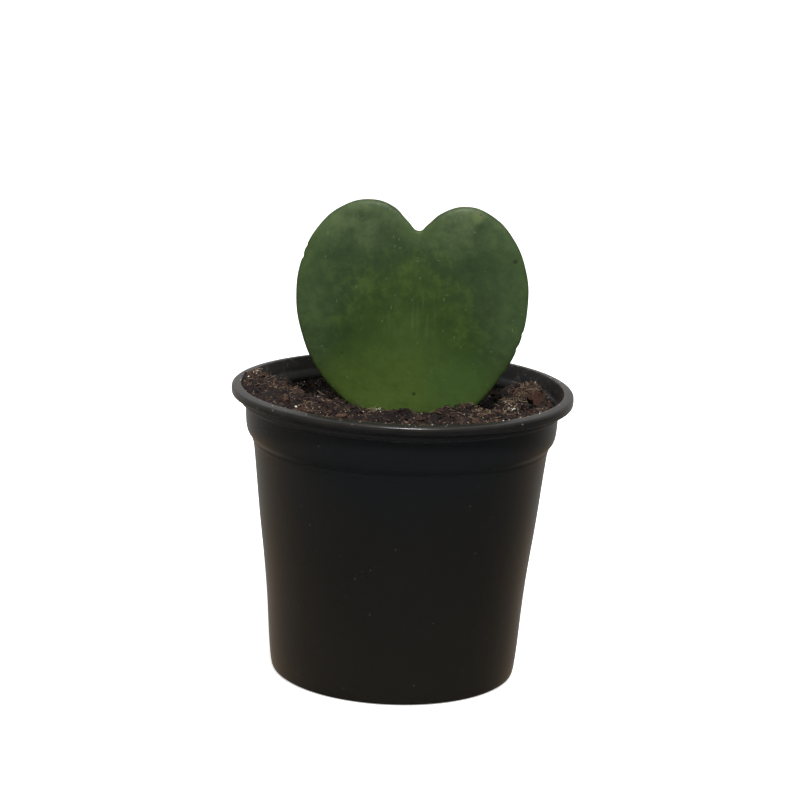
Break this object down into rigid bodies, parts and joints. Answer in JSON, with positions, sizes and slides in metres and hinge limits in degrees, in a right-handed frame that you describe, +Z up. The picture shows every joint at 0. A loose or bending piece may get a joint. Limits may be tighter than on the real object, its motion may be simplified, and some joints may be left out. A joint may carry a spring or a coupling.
{
  "type": "potted hoya plant",
  "caption": "Round black plastic nursery pot with a rolled rim, filled with crumbly potting soil, from which a thick heart-shaped hoya leaf stands upright.",
  "frame": {"origin": "middle of the pot's flat foot, on the surface it stands on", "axes": "+Z up along the pot's axis, -Y the way the leaf's upper face looks, +X to the right of someone facing that leaf"},
  "size_m": [0.105, 0.105, 0.1482],
  "materials": {
    "pot_plastic": "satin",
    "potting_soil": "matte",
    "waxy_leaf": "satin"
  },
  "bodies": {
    "root": {"pot": "pot_plastic", "soil": "potting_soil", "leaf": "waxy_leaf"}
  },
  "joints": []
}
